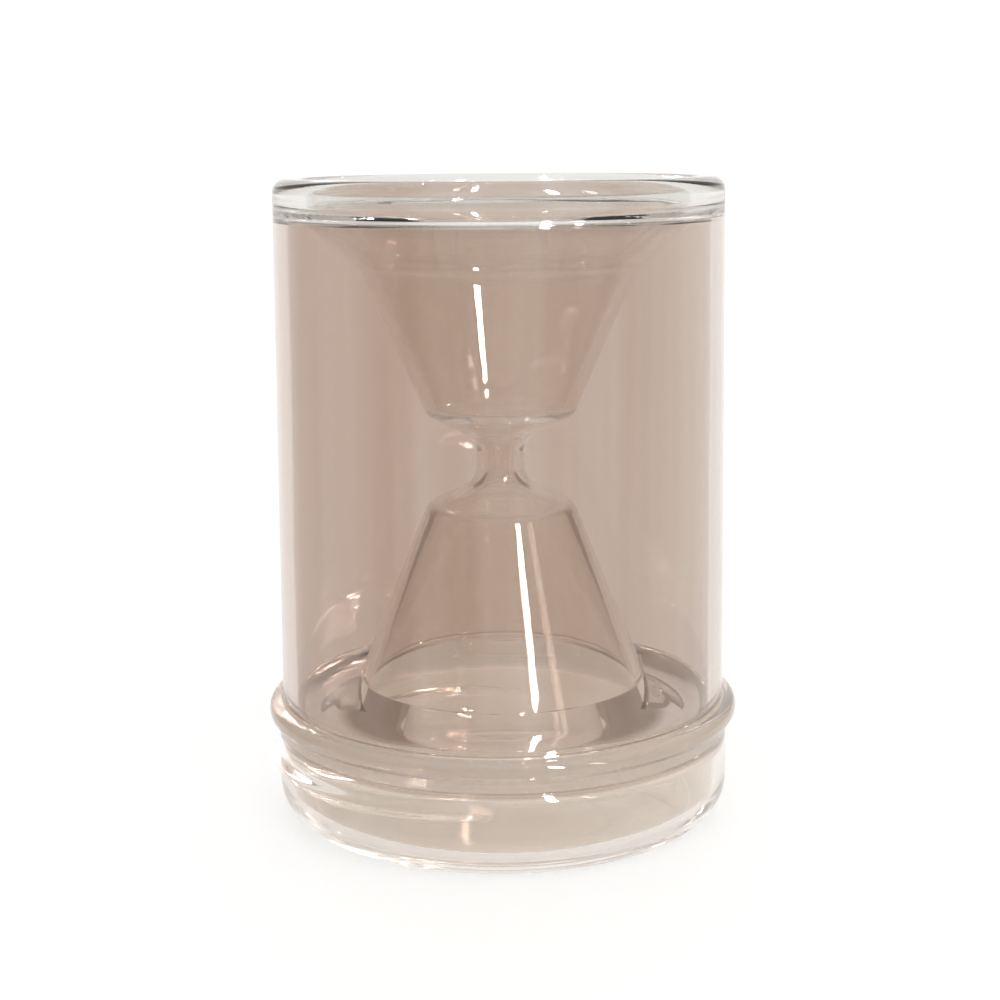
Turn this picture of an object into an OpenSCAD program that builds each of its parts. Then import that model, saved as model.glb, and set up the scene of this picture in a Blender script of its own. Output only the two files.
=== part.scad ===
// Double-walled glass hourglass vessel.
// An hourglass-shaped liner hangs inside a straight glass jacket. The two are fused at the rim and
// again behind the bead near the bottom, which seals the air space between them. Below the bead the
// outer wall goes on as a short foot with one raised thread and a closed, slightly pushed-up floor.
// Origin: centre of the base, on the plane that the vessel stands on. +Z up, millimetres.

/* [Overall] */
// Height from the resting plane to the top of the rim
height = 118.5; // [114:0.5:122]
// Outer radius of the straight jacket
jacket_r = 41.5; // [40:0.5:46]
// Wall of the jacket
jacket_wall = 2.6; // [2:0.1:3.2]
// Wall of the hourglass liner
liner_wall = 2.1; // [1.6:0.1:2.4]

/* [Rim] */
// Depth of the solid glass where liner and jacket are fused
rim_depth = 5.2; // [4.8:0.1:5.6]
// Radius of the rounding on the rim's outer edge
rim_round = 2.6; // [1.5:0.1:2.6]
// Radius of the rounding on the rim's inner edge
rim_inner_round = 1.9; // [1:0.1:2]

/* [Liner] */
// Radius where the rim funnel turns into the upper cup
cup_top_r = 24.6; // [22:0.2:26]
// Depth of that turn below the rim's top
cup_top_depth = 16.4; // [15.8:0.2:17]
// Radius of the upper cup's bottom corner
cup_bottom_r = 13.1; // [11:0.2:15]
// Depth of the upper cup's bottom corner
cup_bottom_depth = 43; // [40:0.5:45]
// Radius of the sand hole through the throat
throat_hole_r = 2.4; // [1.5:0.1:3]
// Radius of the lower bell's shoulder
bell_top_r = 13; // [11:0.2:15]
// Depth of the lower bell's shoulder
bell_top_depth = 61.6; // [60:0.2:63]
// Radius where the lower bell turns out into its flange
bell_foot_r = 28.7; // [27:0.2:30]
// Depth of that turn
bell_foot_depth = 100.4; // [99:0.2:100.8]

/* [Bead and foot] */
// Depth of the bead's widest line below the rim's top
bead_depth = 98.4; // [97.8:0.2:99.6]
// Radius of the bead's widest line
bead_r = 44; // [43.2:0.1:46]
// Outer radius of the foot
foot_r = 42.2; // [41.5:0.1:43]
// Wall of the foot
foot_wall_t = 2.5; // [2:0.1:3]
// Radius of the rounding between foot and floor
foot_round = 6.5; // [5:0.5:7]
// Thickness of the floor
floor_t = 2.6; // [2:0.1:3.2]
// Width of the ring that the vessel stands on
stand_width = 2; // [1:0.5:4]
// Height that the floor is pushed up at its centre
floor_push = 1.3; // [0.5:0.1:2]

/* [Thread] */
// Height that the thread stands out of the foot
thread_rise = 1.1; // [0.6:0.1:1.4]
// Width of the thread along the axis
thread_width = 3; // [2:0.1:3.5]
// Drop of the thread in one full turn
thread_pitch = 10; // [6:0.5:11]
// Turn that the thread covers, in degrees
thread_turn = 190; // [90:5:220]
// Depth of the thread's upper end below the rim's top
thread_depth = 105.4; // [105:0.2:106.6]

/* [Hidden] */
$fn = 96;
ARC = 8;                               // steps in one rounded corner of a profile
tint = [0.74, 0.64, 0.57, 0.45];       // beige glass
clear = [0.86, 0.87, 0.85, 0.45];      // near clear glass of the rim

jacket_in = jacket_r - jacket_wall;
foot_in = foot_r - foot_wall_t;
half_wall = liner_wall / 2;
throat_r = throat_hole_r + half_wall;  // middle of the throat's wall
rim_z = height - rim_depth;
bead_z = height - bead_depth;
bead_half = 1.7;                       // half the bead's height
bead_sweep = 70;                       // the bead's round flank ends this far from its widest line
inner_step = 2;                        // fall over which the foot's inner wall widens
bead_top = bead_z + 2.4;               // where the jacket meets the bead ring
bead_low = bead_z - 4.6;               // where the bead ring meets the foot
floor_top = foot_round + 1;            // where the foot wall meets the floor piece
funnel_slope = 0.88;                   // fall of the funnel per millimetre of radius
shelf_slope = 0.54;                    // fall of the cup's bottom towards the throat
shoulder_slope = 0.51;                 // fall of the bell's top away from the throat

// Middle line of the liner's wall, from the rim down: [radius, z, corner radius]
function down(depth) = height - depth;
funnel_start_r = 36;
LINE = [
    [funnel_start_r, down(cup_top_depth) + funnel_slope * (funnel_start_r - cup_top_r), 0],
    [cup_top_r, down(cup_top_depth), 7],
    [cup_bottom_r, down(cup_bottom_depth), 2.2],
    [throat_r, down(cup_bottom_depth) - shelf_slope * (cup_bottom_r - throat_r), 5],
    [throat_r, down(bell_top_depth) + shoulder_slope * (bell_top_r - throat_r), 5],
    [bell_top_r, down(bell_top_depth), 3.2],
    [bell_foot_r, down(bell_foot_depth), 6],
    [jacket_in, down(bell_foot_depth) - 1.4, 0]];

// Vector helpers for profiles
function unit(v) = v / norm(v);
function left_of(v) = [-v[1], v[0]];
function xy(p) = [p[0], p[1]];
function between(a, b, t) = xy(a) + (xy(b) - xy(a)) * t;
function turn_side(a, b, c) = sign((b[0] - a[0]) * (c[1] - b[1]) - (b[1] - a[1]) * (c[0] - b[0]));

// Corner b of the line a-b-c, moved sideways by d to the left
function shifted(a, b, c, d) =
    let (n1 = left_of(unit(xy(b) - xy(a))), n2 = left_of(unit(xy(c) - xy(b))))
    xy(b) + d * (n1 + n2) / (1 + n1 * n2);

// Arc that rounds the corner at b with radius r
function rounded(a, b, c, r) =
    let (u = unit(a - b), w = unit(c - b), half = acos(u * w) / 2,
         centre = b + unit(u + w) * r / sin(half), s = turn_side(a, b, c),
         start = centre + left_of(unit(b - a)) * -s * r, sweep = s * (180 - 2 * half))
    [for (i = [0:ARC]) let (q = sweep * i / ARC, v = start - centre)
        centre + [v[0] * cos(q) - v[1] * sin(q), v[0] * sin(q) + v[1] * cos(q)]];

// One side of the wall, d to the left of the stretch that starts at point p and ends at point q
// and passes the corners numbered first to last
function wall_side(p, first, last, q, d) =
    let (pts = concat([p], [for (i = [first:last]) LINE[i]], [q]), n = len(pts),
         n_in = left_of(unit(xy(pts[1]) - xy(pts[0]))),
         n_out = left_of(unit(xy(pts[n - 1]) - xy(pts[n - 2]))),
         moved = concat([xy(p) + d * n_in],
                        [for (i = [1:n - 2]) shifted(pts[i - 1], pts[i], pts[i + 1], d)],
                        [xy(q) + d * n_out]))
    concat([moved[0]],
           [for (i = [1:n - 2])
               each rounded(moved[i - 1], moved[i], moved[i + 1],
                            pts[i][2] - d * turn_side(pts[i - 1], pts[i], pts[i + 1]))],
           [moved[n - 1]]);

function reversed(list) = [for (i = [len(list) - 1:-1:0]) list[i]];

// A stretch of the liner as a turned wall of even thickness
module liner_piece(p, first, last, q) {
    rotate_extrude()
        polygon(concat(wall_side(p, first, last, q, half_wall),
                       reversed(wall_side(p, first, last, q, -half_wall))));
}

// Joints between the liner's pieces, on the straight stretches of its middle line
FUNNEL_CUP = between(LINE[1], LINE[2], 0.3);
CUP_THROAT = between(LINE[2], LINE[3], 0.45);
THROAT_BELL = between(LINE[4], LINE[5], 0.55);
BELL_FLANGE = between(LINE[5], LINE[6], 0.82);
FLANGE_END = between(LINE[6], LINE[7], 0.5);

// Quarter arc of a profile, from angle a0 to a1
function arc(centre, r, a0, a1) =
    [for (i = [0:ARC]) let (q = a0 + (a1 - a0) * i / ARC) centre + r * [cos(q), sin(q)]];

// Solid rim where the jacket and the liner are fused together
module rim_ring() {
    outer_start = wall_side(LINE[0], 1, 1, FUNNEL_CUP, half_wall)[0];
    inner_start = wall_side(LINE[0], 1, 1, FUNNEL_CUP, -half_wall)[0];
    lip = 0.2;                         // ledge between the inner rounding and the funnel
    color(clear) rotate_extrude() polygon(concat(
        [[jacket_in, rim_z], [jacket_r, rim_z]],
        arc([jacket_r - rim_round, height - rim_round], rim_round, 0, 90),
        arc([inner_start[0] + rim_inner_round + lip, height - rim_inner_round],
            rim_inner_round, 90, 180),
        [inner_start, outer_start]));
}

// Straight outer tube
module outer_jacket() {
    color(tint) translate([0, 0, bead_top]) difference() {
        cylinder(r = jacket_r, h = rim_z - bead_top);
        translate([0, 0, -1]) cylinder(r = jacket_in, h = rim_z - bead_top + 2);
    }
}

// Conical funnel from the rim to the cup
module rim_funnel() {
    color(tint) liner_piece(LINE[0], 1, 1, FUNNEL_CUP);
}

// Upper cup that holds the sand before it falls
module upper_cup() {
    color(tint) liner_piece(FUNNEL_CUP, 2, 2, CUP_THROAT);
}

// Waisted throat with the sand hole
module throat() {
    color(tint) liner_piece(CUP_THROAT, 3, 4, THROAT_BELL);
}

// Lower bell
module lower_bell() {
    color(tint) liner_piece(THROAT_BELL, 5, 5, BELL_FLANGE);
}

// Flange that turns the bell's foot out to the jacket, with a fused fillet against the wall
module bell_flange() {
    top = wall_side(BELL_FLANGE, 6, 6, FLANGE_END, half_wall);
    under = wall_side(BELL_FLANGE, 6, 6, FLANGE_END, -half_wall);
    fillet_r = bead_top - top[len(top) - 1][1];
    fillet_sweep = 75;                 // the fillet leaves the sloping flange before its lowest point
    color(tint) rotate_extrude() polygon(concat(
        top,
        arc([jacket_in - fillet_r, bead_top], fillet_r, -fillet_sweep, 0),
        [[jacket_in, bead_low]],
        reversed(under)));
}

// Rounded bead that runs round the outside
module bead_ring() {
    color(tint) rotate_extrude() polygon(concat(
        [[jacket_in, bead_low], [foot_r, bead_low], [foot_r, bead_z - bead_half]],
        arc([bead_r - bead_half, bead_z], bead_half, -bead_sweep, bead_sweep),
        [[jacket_r, bead_z + bead_half], [jacket_r, bead_top], [jacket_in, bead_top]]));
}

// Straight wall of the foot, under the bead
module foot_wall() {
    color(clear) rotate_extrude() polygon([
        [jacket_in, bead_low], [foot_r, bead_low], [foot_r, floor_top], [foot_in, floor_top],
        [foot_in, bead_low - inner_step]]);
}

// Closed floor with its rounded edge, pushed up in the middle
module base_floor() {
    edge_r = foot_r - foot_round;      // outer edge of the ring that it stands on
    ring_r = edge_r - stand_width;     // inner edge of that ring
    slope_r = ring_r - 4;              // where the floor has risen most of its push
    slope_z = floor_push * 0.6;
    corner_r = foot_round - foot_wall_t;
    color(clear) rotate_extrude() polygon(concat(
        [[foot_in, floor_top], [foot_r, floor_top]],
        arc([edge_r, foot_round], foot_round, 0, -90),
        [[ring_r, 0], [slope_r, slope_z], [0, floor_push],
         [0, floor_push + floor_t], [slope_r, slope_z + floor_t]],
        arc([foot_in - corner_r, floor_t + slope_z / 2 + corner_r], corner_r, -90, 0)));
}

// One raised right-hand thread, faded out at both ends. Its root is a chord of the foot's wall at
// every step, so it starts just outside that wall.
thread_steps = 40;
thread_sides = 8;
thread_start = -92;                    // angle of the thread's upper end
thread_root = foot_r / cos(thread_turn / thread_steps / 2);
least_rise = 0.15;                      // height and width that are left at the faded ends
least_width = 0.4;
fade_length = 0.12;                     // part of the thread's length that fades at each end
function thread_fade(t) = min(1, min(t, 1 - t) / fade_length);
function thread_ring(t) =
    let (turn = thread_start - t * thread_turn,
         z0 = down(thread_depth) - thread_pitch * t * thread_turn / 360,
         rise = least_rise + (thread_rise - least_rise) * sqrt(thread_fade(t)),
         half = thread_width / 2 * (least_width + (1 - least_width) * thread_fade(t)))
    [for (k = [0:thread_sides - 1])
        let (q = 180 * k / (thread_sides - 1) - 90, r = thread_root + rise * cos(q))
        [r * cos(turn), r * sin(turn), z0 + half * sin(q)]];

module thread_ridge() {
    n = thread_sides;
    points = [for (i = [0:thread_steps]) each thread_ring(i / thread_steps)];
    sides = [for (i = [0:thread_steps - 1], k = [0:n - 1])
        [i * n + k, i * n + (k + 1) % n, (i + 1) * n + (k + 1) % n, (i + 1) * n + k]];
    upper_end = [for (k = [n - 1:-1:0]) k];
    lower_end = [for (k = [0:n - 1]) thread_steps * n + k];
    color(clear) polyhedron(points, concat(sides, [upper_end, lower_end]), convexity = 4);
}

rim_ring();
outer_jacket();
rim_funnel();
upper_cup();
throat();
lower_bell();
bell_flange();
bead_ring();
foot_wall();
thread_ridge();
base_floor();
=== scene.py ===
# Looks of a double-walled glass hourglass vessel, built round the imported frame.
# Lengths are in metres, +Z is up, and the vessel stands on z = 0 with its axis on Z.
import functools
import math
import operator

import bmesh
import bpy
from mathutils import Matrix, Vector, noise


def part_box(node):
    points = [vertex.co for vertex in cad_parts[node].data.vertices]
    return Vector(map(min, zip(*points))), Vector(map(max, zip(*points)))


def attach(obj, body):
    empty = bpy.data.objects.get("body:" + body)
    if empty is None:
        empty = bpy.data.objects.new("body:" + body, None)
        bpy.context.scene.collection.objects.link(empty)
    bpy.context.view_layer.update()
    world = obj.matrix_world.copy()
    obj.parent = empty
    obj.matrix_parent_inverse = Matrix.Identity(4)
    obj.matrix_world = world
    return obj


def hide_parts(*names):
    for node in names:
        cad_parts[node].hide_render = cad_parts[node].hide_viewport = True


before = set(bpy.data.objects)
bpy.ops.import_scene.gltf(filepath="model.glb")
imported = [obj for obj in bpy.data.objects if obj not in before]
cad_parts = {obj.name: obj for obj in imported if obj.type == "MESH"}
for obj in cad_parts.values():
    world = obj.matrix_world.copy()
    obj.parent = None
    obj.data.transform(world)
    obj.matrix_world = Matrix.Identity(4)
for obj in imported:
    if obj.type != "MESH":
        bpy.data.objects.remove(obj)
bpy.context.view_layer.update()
scene = bpy.context.scene
MM = 0.001

# ---------------------------------------------------------------- sizes from the frame

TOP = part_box("rim_ring")[1].z
JACKET_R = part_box("outer_jacket")[1].x
RIM_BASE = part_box("outer_jacket")[1].z
BEAD_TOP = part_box("bead_ring")[1].z
BEAD_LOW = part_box("bead_ring")[0].z
BEAD_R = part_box("bead_ring")[1].x
FOOT_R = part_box("foot_wall")[1].x
FLOOR_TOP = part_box("base_floor")[1].z

# ---------------------------------------------------------------- sizes of the glass section

JACKET_WALL = 2.6 * MM
LINER_WALL = 2.1 * MM
FOOT_WALL = 2.5 * MM
JACKET_IN = JACKET_R - JACKET_WALL
FOOT_IN = FOOT_R - FOOT_WALL
HALF_LINER = LINER_WALL / 2
SAND_HOLE_R = 2.4 * MM
THROAT_R = SAND_HOLE_R + HALF_LINER

# Middle of the liner's wall from the rim down: radius, depth below the rim and rounding of each turn
FUNNEL_START = (36.0 * MM, 6.37 * MM, 0)
CUP_TOP = (24.6 * MM, 16.4 * MM, 7 * MM)
CUP_BOTTOM = (13.1 * MM, 43.0 * MM, 2.2 * MM)
THROAT_UPPER = (THROAT_R, 48.21 * MM, 5 * MM)
THROAT_LOWER = (THROAT_R, 56.73 * MM, 5 * MM)
BELL_TOP = (13.0 * MM, 61.6 * MM, 3.2 * MM)
BELL_FOOT = (28.7 * MM, 100.4 * MM, 6 * MM)
FLANGE_EDGE = (JACKET_IN, 101.8 * MM, 0)
LINER = [FUNNEL_START, CUP_TOP, CUP_BOTTOM, THROAT_UPPER, THROAT_LOWER, BELL_TOP, BELL_FOOT, FLANGE_EDGE]

RIM_ROUND = 2.6 * MM
RIM_INNER_ROUND = 1.9 * MM
MOUTH_R = 35.52 * MM
MOUTH_DEPTH = 5.58 * MM                # where the rim's upright inside turns into the funnel
MOUTH_LIP = 0.21 * MM
FLANGE_UNDER_R = 33.66 * MM
FLANGE_UNDER_RISE = 0.86 * MM          # height of the flange's underside there above the bead's foot
FILLET_DROP = 4.74 * MM
FILLET_ROUND = 4.1 * MM
FOOT_WIDENING = 2 * MM
BEAD_HALF = 1.7 * MM
BEAD_MIDDLE = BEAD_TOP - 2.4 * MM
FOOT_ROUND = 6.5 * MM
FLOOR_THICK = 2.6 * MM
FLOOR_PUSH = 1.3 * MM
STAND_OUTER = FOOT_R - FOOT_ROUND
STAND_WIDTH = 2 * MM
FLOOR_SLOPE_WIDTH = 4 * MM
FLOOR_SLOPE_SHARE = 0.6

# One raised right-hand thread on the foot, and how it fades at its ends
THREAD_RISE = 1.1 * MM
THREAD_WIDTH = 3 * MM
THREAD_PITCH = 10 * MM
THREAD_TURN = math.radians(190)
THREAD_START = math.radians(-92)
THREAD_TOP = TOP - 105.4 * MM
THREAD_FADE = 0.12
THREAD_STEP = 0.2 * MM

# ---------------------------------------------------------------- drawing the section

ARC_STEP = math.radians(4)
HOLD = 0.15 * MM
RUN_STEP = 2.5 * MM
TURN_STEPS = 256


def left_of(v):
    return Vector((-v.y, v.x)).normalized()


def cross(u, v):
    return u.x * v.y - u.y * v.x


def corner(r, z, rounding=0.0):
    return Vector((r, z)), rounding


def rounded(before, at, after, radius):
    """Points of the arc that rounds one corner."""
    back = (before - at).normalized()
    on = (after - at).normalized()
    half = back.angle(on) / 2
    if radius <= 0 or half > math.pi / 2 - 1e-3:
        return [at.copy()]
    side = 1 if cross(at - before, after - at) > 0 else -1
    centre = at + (back + on).normalized() * radius / math.sin(half)
    spoke = left_of(at - before) * -side * radius
    sweep = side * (math.pi - 2 * half)
    steps = max(3, math.ceil(abs(sweep) / ARC_STEP))
    return [centre + Matrix.Rotation(sweep * i / steps, 2) @ spoke for i in range(steps + 1)]


def drawn(corners):
    """A line of rounded corners as one list of points."""
    places = [place for place, _ in corners]
    points = [places[0]]
    for before, (at, radius), after in zip(places, corners[1:-1], places[2:]):
        points += rounded(before, at, after, radius)
    return points + [places[-1]]


def liner_side(d):
    """The liner's turns moved sideways by d, to the left of the way down."""
    path = [Vector((r, TOP - depth)) for r, depth, _ in LINER]
    turns = []
    for (before, at, after), (_, _, rounding) in zip(zip(path, path[1:], path[2:]), LINER[1:-1]):
        n_in = left_of(at - before)
        n_out = left_of(after - at)
        moved = at + (n_in + n_out) * d / (1 + n_in.dot(n_out))
        bend = 1 if cross(at - before, after - at) > 0 else -1
        turns.append((moved, rounding - d * bend))
    return turns


def wall_point(start, end, share):
    """A point in the middle of the liner's wall."""
    a = Vector((start[0], TOP - start[1]))
    b = Vector((end[0], TOP - end[1]))
    return a.lerp(b, share)


def skin_corners():
    """The outer surface of the whole section, from the chamber's floor over the rim to the underside."""
    slope_r = STAND_OUTER - STAND_WIDTH - FLOOR_SLOPE_WIDTH
    slope_z = FLOOR_PUSH * FLOOR_SLOPE_SHARE
    inner = [
        corner(0, FLOOR_PUSH + FLOOR_THICK),
        corner(slope_r, slope_z + FLOOR_THICK, 60 * MM),
        corner(FOOT_IN, slope_z / 2 + FLOOR_THICK, FOOT_ROUND - FOOT_WALL),
        corner(FOOT_IN, BEAD_LOW - FOOT_WIDENING, 3 * MM),
        corner(JACKET_IN, BEAD_LOW, 1.4 * MM),
        corner(FLANGE_UNDER_R, BEAD_LOW + FLANGE_UNDER_RISE, 8 * MM),
    ]
    mouth = liner_side(-HALF_LINER)[::-1] + [
        corner(MOUTH_R - MOUTH_LIP, TOP - MOUTH_DEPTH, 2.4 * MM),
        corner(MOUTH_R, TOP, RIM_INNER_ROUND),
    ]
    outer = [
        corner(JACKET_R, TOP, RIM_ROUND),
        corner(JACKET_R, BEAD_MIDDLE + BEAD_HALF, 0.6 * MM),
        corner(BEAD_R, BEAD_MIDDLE + BEAD_HALF, BEAD_HALF * 0.999),
        corner(BEAD_R, BEAD_MIDDLE - BEAD_HALF, BEAD_HALF * 0.88),
        corner(FOOT_R, BEAD_MIDDLE - BEAD_HALF, 0.3 * MM),
        corner(FOOT_R, 0, FOOT_ROUND),
        corner(STAND_OUTER - STAND_WIDTH, 0, 12 * MM),
        corner(slope_r, slope_z, 24 * MM),
        corner(0, FLOOR_PUSH),
    ]
    return inner + mouth + outer


def cavity_corners():
    """The sealed air space's surface, from the jacket's top joint down the liner and back up to the bead."""
    return [
        corner(JACKET_IN, RIM_JOINT),
        corner(JACKET_IN, RIM_BASE, 1.2 * MM),
        *liner_side(HALF_LINER),
        corner(JACKET_IN, BEAD_TOP - FILLET_DROP, FILLET_ROUND),
        corner(JACKET_IN, BEAD_TOP),
    ]


RIM_JOINT = RIM_BASE - 2 * MM
FOOT_JOINT_OUT = BEAD_LOW - 0.2 * MM
FOOT_JOINT_IN = BEAD_LOW - 1.2 * MM


class Path:
    """A line of points that is cut where joints cross it."""

    def __init__(self, points):
        self.points = points

    def place(self, near):
        """How far along the path its nearest point to near lies, in points."""
        best = (float("inf"), 0.0)
        for i, (a, b) in enumerate(zip(self.points, self.points[1:])):
            run = b - a
            share = min(1.0, max(0.0, (near - a).dot(run) / run.length_squared))
            best = min(best, ((a + run * share - near).length, i + share))
        return best[1]

    def at(self, place):
        i = min(int(place), len(self.points) - 2)
        return self.points[i].lerp(self.points[i + 1], place - i)

    def stretch(self, start, end):
        """The points from one place to another, which may run backwards."""
        first, last = sorted((start, end))
        between = [self.points[i] for i in range(math.ceil(first + 1e-6), math.ceil(last - 1e-6))]
        points = [self.at(first), *between, self.at(last)]
        return points if start < end else points[::-1]


def held(points, run_step):
    """Adds points along straight runs, close to their ends too, so that smooth shading stays true there."""
    out = [points[0]]
    for a, b in zip(points, points[1:]):
        length = (b - a).length
        if length > 8 * HOLD:
            parts = max(1, round(length / run_step))
            shares = [HOLD / length, *(i / parts for i in range(1, parts)), 1 - HOLD / length]
            out += [a.lerp(b, share) for share in shares]
        out.append(b)
    return out


# ---------------------------------------------------------------- turned glass pieces

WAVE = 0.05 * MM
WAVE_SCALE = (55.0, 55.0, 26.0)


def hand_blown(bm):
    """Draws the glass in by a few hundredths of a millimetre, unevenly, as flame work leaves it."""
    for v in bm.verts:
        lump = noise.noise(Vector((v.co.x * WAVE_SCALE[0], v.co.y * WAVE_SCALE[1], v.co.z * WAVE_SCALE[2])))
        reach = math.hypot(v.co.x, v.co.y)
        if reach > MM:
            shrink = 1 - WAVE * (0.5 + 0.5 * lump) / reach
            v.co.x *= shrink
            v.co.y *= shrink


def turned(name, stretches, nodes, glass, shape=None, run_step=RUN_STEP):
    """One closed glass piece, spun from its stretches of surface. Flat joints close it between them."""
    bm = bmesh.new()
    ends = bm.verts.layers.int.new("joint_ends")
    rows = [[bm.verts.new((p.x, 0, p.y)) for p in held(points, run_step)] for points in stretches]
    for row in rows:
        for a, b in zip(row, row[1:]):
            bm.edges.new((a, b))
    for number, (row, after) in enumerate(zip(rows, rows[1:] + rows[:1])):
        a, b = row[-1], after[0]
        if a.co.x < 1e-9 and b.co.x < 1e-9:
            continue
        a[ends] |= 1 << number
        b[ends] |= 1 << number
        bm.edges.new((a, b))
    bmesh.ops.spin(
        bm,
        geom=bm.verts[:] + bm.edges[:],
        cent=(0, 0, 0),
        axis=(0, 0, 1),
        dvec=(0, 0, 0),
        angle=math.tau,
        steps=TURN_STEPS,
        use_merge=True,
        use_duplicate=False,
    )
    bmesh.ops.remove_doubles(bm, verts=bm.verts, dist=1e-7)
    bmesh.ops.recalc_face_normals(bm, faces=bm.faces)
    for face in bm.faces:
        shared = functools.reduce(operator.and_, (v[ends] for v in face.verts))
        face.material_index = 1 if shared else 0
        face.smooth = face.material_index == 0
    for edge in bm.edges:
        edge.smooth = len({face.material_index for face in edge.link_faces}) == 1
    if shape:
        shape(bm)
    hand_blown(bm)
    mesh = bpy.data.meshes.new(name)
    bm.to_mesh(mesh)
    bm.free()
    mesh.materials.append(glass)
    mesh.materials.append(fused_joint)
    piece = bpy.data.objects.new(name, mesh)
    scene.collection.objects.link(piece)
    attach(piece, "root")
    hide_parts(*nodes)
    return piece


def raise_thread(bm):
    """Pushes one fading thread out of the foot's outer wall."""
    for v in bm.verts:
        reach = math.hypot(v.co.x, v.co.y)
        if reach < FOOT_R - 0.2 * MM:
            continue
        turn = (THREAD_START - math.atan2(v.co.y, v.co.x)) % math.tau
        if turn > THREAD_TURN:
            continue
        share = turn / THREAD_TURN
        fade = min(1.0, min(share, 1 - share) / THREAD_FADE)
        middle = THREAD_TOP - THREAD_PITCH * turn / math.tau
        off = abs(v.co.z - middle) / (THREAD_WIDTH / 2)
        if off >= 1.35:
            continue
        crest = math.cos(off / 1.35 * math.pi / 2) ** 2
        push = 1 + THREAD_RISE * math.sqrt(fade) * crest / reach
        v.co.x *= push
        v.co.y *= push


# ---------------------------------------------------------------- shader helpers


class Value:
    """A shader socket that can be added to and multiplied."""

    def __init__(self, tree, socket):
        self.tree = tree
        self.socket = socket

    def _math(self, operation, a, b):
        node = self.tree.nodes.new("ShaderNodeMath")
        node.operation = operation
        for slot, value in zip(node.inputs, (a, b)):
            if isinstance(value, Value):
                self.tree.links.new(value.socket, slot)
            else:
                slot.default_value = value
        return Value(self.tree, node.outputs[0])

    def __add__(self, other):
        return self._math("ADD", self, other)

    def __mul__(self, other):
        return self._math("MULTIPLY", self, other)


class Recipe:
    """A material and the few node calls that fill it."""

    def __init__(self, name):
        self.material = bpy.data.materials.new(name)
        self.material.use_nodes = True
        self.tree = self.material.node_tree
        self.tree.nodes.clear()

    def node(self, kind, settings=None, inputs=None, output=0):
        made = self.tree.nodes.new("ShaderNode" + kind)
        for key, value in (settings or {}).items():
            if key == "stops":
                self._stops(made.color_ramp, value)
            else:
                setattr(made, key, value)
        for key, value in (inputs or {}).items():
            if isinstance(value, Value):
                self.tree.links.new(value.socket, made.inputs[key])
            else:
                made.inputs[key].default_value = value
        return Value(self.tree, made.outputs[output])

    def _stops(self, ramp, stops):
        while len(ramp.elements) > 1:
            ramp.elements.remove(ramp.elements[-1])
        ramp.elements[0].position, ramp.elements[0].color = stops[0]
        for position, colour in stops[1:]:
            ramp.elements.new(position).color = colour

    def place(self, scale):
        """Object coordinates in metres, stretched by scale."""
        where = self.node("TexCoord", output="Object")
        return self.node("Mapping", inputs={"Vector": where, "Scale": scale})

    def finish(self, shader):
        out = self.tree.nodes.new("ShaderNodeOutputMaterial")
        self.tree.links.new(shader.socket, out.inputs["Surface"])
        return self.material


GLASS_IOR = 1.47
PAINTED_LIGHT_ACROSS = 2.4                     # painted light and shade: how much the glass is painted paler towards +X, the side the key strip lights, and darker towards -X, per metre


def blown_glass(name, tint, pale, streak, ripple):
    """Tinted glass, painted paler towards +X as painted light on the side the key strip lights, and darker
    towards -X as painted shade. streak stretches its colour bands, and ripple its surface marks.
    """
    r = Recipe(name)
    bands = r.node("TexNoise", None,
                   {"Vector": r.place(streak), "Scale": 1.0, "Detail": 3.0, "Roughness": 0.5})
    # Painted light and shade: object X pushes the colour towards the pale stop on the +X side and towards
    # the tint on the -X side.
    painted_light_x = r.node("SeparateXYZ", None, {"Vector": r.place((1, 1, 1))})
    colour = r.node("ValToRGB", {"stops": [(0.36, (*tint, 1)), (0.66, (*pale, 1))]},
                    {"Fac": bands + painted_light_x * PAINTED_LIGHT_ACROSS})
    marks = r.node("TexNoise", None,
                   {"Vector": r.place(ripple), "Scale": 1.0, "Detail": 2.0, "Roughness": 0.4})
    normal = r.node("Bump", None, {"Strength": 0.12, "Distance": 0.00006, "Height": marks})
    shader = r.node("BsdfPrincipled", None, {
        "Base Color": colour,
        "Roughness": 0.0,
        "IOR": GLASS_IOR,
        "Transmission Weight": 1.0,
        "Normal": normal,
    })
    return r.finish(shader)


def clear_joint(name):
    """The inside of fused glass, where nothing shows."""
    r = Recipe(name)
    return r.finish(r.node("BsdfPrincipled", None, {"Alpha": 0.0, "Roughness": 1.0}))


TABLE_GLOW = 0.74


def light_table(name):
    """A pale backlit sweep with a faint mottle."""
    r = Recipe(name)
    mottle = r.node("TexNoise", None, {"Vector": r.place((3, 3, 3)), "Scale": 1.0, "Detail": 4.0})
    colour = r.node("ValToRGB", {"stops": [(0.3, (0.34, 0.34, 0.335, 1)), (0.7, (0.37, 0.37, 0.365, 1))]},
                    {"Fac": mottle})
    return r.finish(r.node("BsdfPrincipled", None, {
        "Base Color": colour,
        "Roughness": 0.85,
        "Emission Color": (1, 0.995, 0.985, 1),
        "Emission Strength": TABLE_GLOW,
    }))


UPRIGHT_BANDS = (90, 90, 3)
TURNED_BANDS = (12, 12, 130)
FINE_UPRIGHT = (420, 420, 40)
FINE_TURNED = (60, 60, 700)

JACKET_TINT = (0.63, 0.525, 0.46)
JACKET_PALE = (0.72, 0.65, 0.6)
LINER_TINT = (0.9, 0.86, 0.82)
LINER_PALE = (0.94, 0.91, 0.88)
BEAD_TINT = (0.56, 0.47, 0.41)
BEAD_PALE = (0.66, 0.58, 0.52)
RIM_TINT = (0.8, 0.79, 0.765)
RIM_PALE = (0.86, 0.855, 0.84)
FOOT_TINT = (0.81, 0.75, 0.69)
FOOT_PALE = (0.87, 0.82, 0.77)

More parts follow.
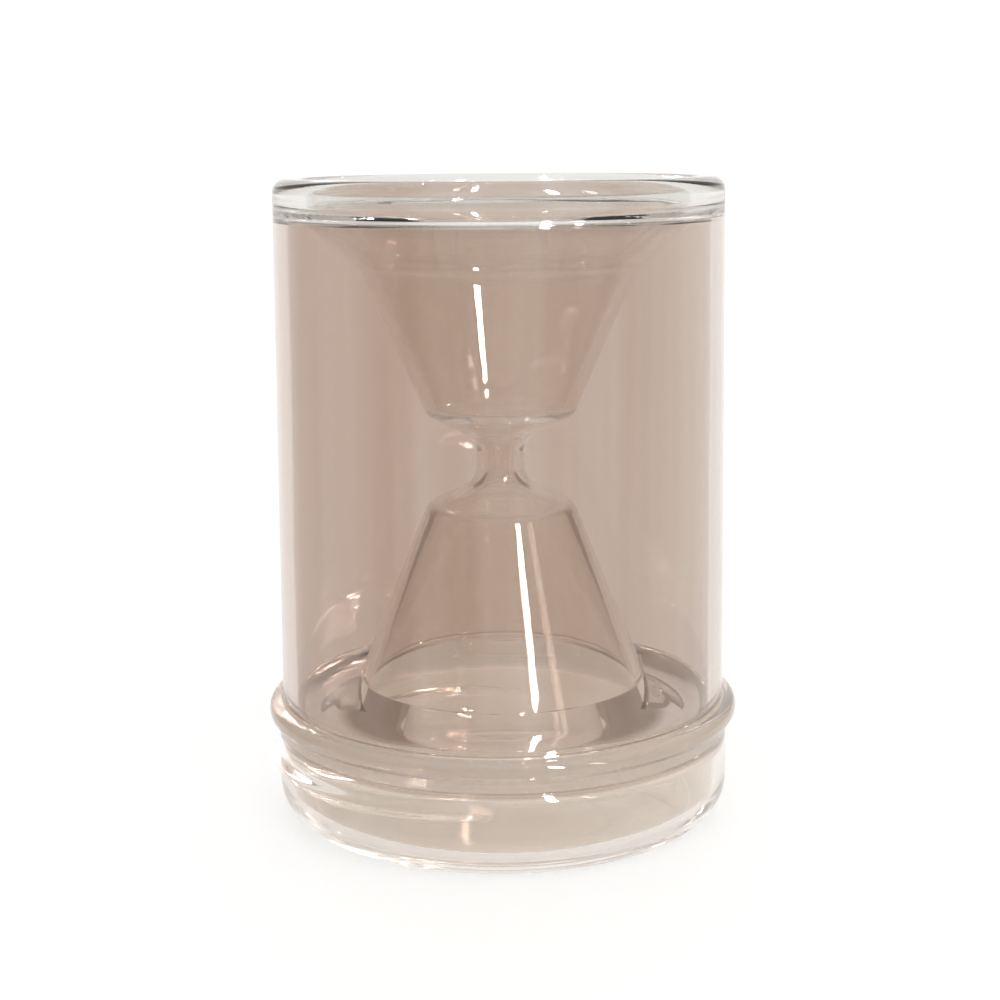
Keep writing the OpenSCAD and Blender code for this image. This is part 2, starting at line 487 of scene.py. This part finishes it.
jacket_glass = blown_glass("jacket_glass", JACKET_TINT, JACKET_PALE, UPRIGHT_BANDS, FINE_UPRIGHT)
liner_glass = blown_glass("liner_glass", LINER_TINT, LINER_PALE, UPRIGHT_BANDS, FINE_TURNED)
bead_glass = blown_glass("bead_glass", BEAD_TINT, BEAD_PALE, TURNED_BANDS, FINE_TURNED)
rim_glass = blown_glass("rim_glass", RIM_TINT, RIM_PALE, TURNED_BANDS, FINE_TURNED)
foot_glass = blown_glass("foot_glass", FOOT_TINT, FOOT_PALE, TURNED_BANDS, FINE_TURNED)
fused_joint = clear_joint("fused_joint")

# ---------------------------------------------------------------- the pieces

skin = Path(drawn(skin_corners()))
cavity = Path(drawn(cavity_corners()))
cavity_end = len(cavity.points) - 1


def joint(point):
    """Where a joint through the wall at point meets the skin and the cavity."""
    return skin.place(point), cavity.place(point)


mouth_joint = joint(wall_point(FUNNEL_START, CUP_TOP, 0.25))
cup_joint = joint(wall_point(CUP_TOP, CUP_BOTTOM, 0.3))
neck_joint = joint(wall_point(CUP_BOTTOM, THROAT_UPPER, 0.45))
shoulder_joint = joint(wall_point(THROAT_LOWER, BELL_TOP, 0.55))
bell_joint = joint(wall_point(BELL_TOP, BELL_FOOT, 0.82))
jacket_top = skin.place(Vector((JACKET_R, RIM_JOINT)))
jacket_foot = skin.place(Vector((JACKET_R, BEAD_TOP)))
flange_under = skin.place(Vector((JACKET_IN, BEAD_LOW)))
bead_foot = skin.place(Vector((FOOT_R, FOOT_JOINT_OUT)))
bead_inside = skin.place(Vector((FOOT_IN - 0.3 * MM, FOOT_JOINT_IN)))
floor_edge = skin.place(Vector((FOOT_R, FLOOR_TOP)))
floor_inside = skin.place(Vector((FOOT_IN, FLOOR_TOP)))


def liner_piece(name, upper, lower, glass):
    """A stretch of the liner between two joints, which replaces the node of its own name."""
    walls = [skin.stretch(lower[0], upper[0]), cavity.stretch(upper[1], lower[1])]
    return turned(name + "_glass", walls, [name], glass)


turned("rim_ring_glass",
       [skin.stretch(mouth_joint[0], jacket_top), cavity.stretch(0, mouth_joint[1])],
       ["rim_ring"], rim_glass)
turned("outer_jacket_glass",
       [skin.stretch(jacket_top, jacket_foot), [cavity.at(cavity_end), cavity.at(0)]],
       ["outer_jacket"], jacket_glass)
liner_piece("rim_funnel", mouth_joint, cup_joint, liner_glass)
liner_piece("upper_cup", cup_joint, neck_joint, liner_glass)
liner_piece("throat", neck_joint, shoulder_joint, liner_glass)
liner_piece("lower_bell", shoulder_joint, bell_joint, liner_glass)
turned("bell_flange_glass",
       [skin.stretch(flange_under, bell_joint[0]), cavity.stretch(bell_joint[1], cavity_end)],
       ["bell_flange"], liner_glass)
turned("bead_ring_glass",
       [skin.stretch(bead_inside, flange_under),
        [cavity.at(cavity_end)],
        skin.stretch(jacket_foot, bead_foot)],
       ["bead_ring"], bead_glass)
turned("foot_wall_glass",
       [skin.stretch(floor_inside, bead_inside), skin.stretch(bead_foot, floor_edge)],
       ["foot_wall", "thread_ridge"], foot_glass, raise_thread, THREAD_STEP)
turned("base_floor_glass",
       [skin.stretch(0, floor_inside), skin.stretch(floor_edge, len(skin.points) - 1)],
       ["base_floor"], foot_glass)

# ---------------------------------------------------------------- studio


TABLE_R = 6.0
OPEN_SIDE = 0.32                       # sideways part of a direction up to which the room is white
DIM_SIDE = 0.6                         # and from which it is dim
ROOM_WHITE = (1.04, 1.04, 1.04, 1)
ROOM_DIM = (0.5, 0.44, 0.4, 1)


def pale_floor():
    bm = bmesh.new()
    bmesh.ops.create_circle(bm, cap_ends=True, radius=TABLE_R, segments=96)
    mesh = bpy.data.meshes.new("studio_floor")
    bm.to_mesh(mesh)
    bm.free()
    mesh.materials.append(light_table("sweep_paper"))
    floor = bpy.data.objects.new("studio_floor", mesh)
    scene.collection.objects.link(floor)


def softbox(name, azimuth, elevation, distance, size, watts):
    """An area light that faces the vessel. Azimuth 0 is the camera's side, and it grows to the right."""
    a = math.radians(azimuth)
    e = math.radians(elevation)
    aim = Vector((0, 0, TOP / 2))
    out = Vector((math.sin(a) * math.cos(e), -math.cos(a) * math.cos(e), math.sin(e)))
    facing = out.to_track_quat("Z", "Y").to_matrix().to_4x4()
    light = bpy.data.lights.new(name, "AREA")
    light.shape = "RECTANGLE"
    light.size, light.size_y = size
    light.energy = watts
    lamp = bpy.data.objects.new(name, light)
    lamp.matrix_world = Matrix.Translation(aim + out * distance) @ facing
    lamp.visible_camera = False
    lamp.visible_diffuse = False
    scene.collection.objects.link(lamp)


def studio_world():
    """A white room, with a dimmer warm wall on the left and the right."""
    world = bpy.data.worlds.new("studio")
    scene.world = world
    world.use_nodes = True
    tree = world.node_tree
    coords = tree.nodes.new("ShaderNodeTexCoord")
    split = tree.nodes.new("ShaderNodeSeparateXYZ")
    sideways = tree.nodes.new("ShaderNodeMath")
    sideways.operation = "ABSOLUTE"
    ramp = tree.nodes.new("ShaderNodeValToRGB")
    tree.links.new(coords.outputs["Generated"], split.inputs[0])
    tree.links.new(split.outputs["X"], sideways.inputs[0])
    tree.links.new(sideways.outputs[0], ramp.inputs[0])
    ramp.color_ramp.elements[0].position = OPEN_SIDE
    ramp.color_ramp.elements[0].color = ROOM_WHITE
    ramp.color_ramp.elements[1].position = DIM_SIDE
    ramp.color_ramp.elements[1].color = ROOM_DIM
    tree.links.new(ramp.outputs[0], tree.nodes["Background"].inputs[0])


CAMERA_PITCH = math.radians(7)
CAMERA_AWAY = 337.0 * MM
CAMERA_HEIGHT = 124.8 * MM
CAMERA_ROLL = math.radians(-0.46)
CAMERA_LENS = 65.61
CAMERA_SHIFT = -0.1342


def studio_camera():
    data = bpy.data.cameras.new("camera")
    camera = bpy.data.objects.new("camera", data)
    look = Vector((0, math.cos(CAMERA_PITCH), -math.sin(CAMERA_PITCH)))
    turn = look.to_track_quat("-Z", "Y").to_matrix().to_4x4() @ Matrix.Rotation(CAMERA_ROLL, 4, "Z")
    camera.matrix_world = Matrix.Translation((0, -CAMERA_AWAY, CAMERA_HEIGHT)) @ turn
    data.sensor_width = 36
    data.lens = CAMERA_LENS
    data.shift_y = CAMERA_SHIFT
    scene.collection.objects.link(camera)
    scene.camera = camera


pale_floor()
studio_world()
softbox("key_strip", 27, 34, 0.6, (0.045, 0.27), 6.0)
softbox("faint_strip", 47, 27, 0.7, (0.05, 0.3), 0.5)
studio_camera()
scene.view_settings.view_transform = "Standard"
scene.cycles.use_denoising = True
scene.cycles.max_bounces = 64
scene.cycles.transmission_bounces = 64
scene.cycles.glossy_bounces = 32
scene.cycles.transparent_max_bounces = 64
scene.cycles.sample_clamp_indirect = 0
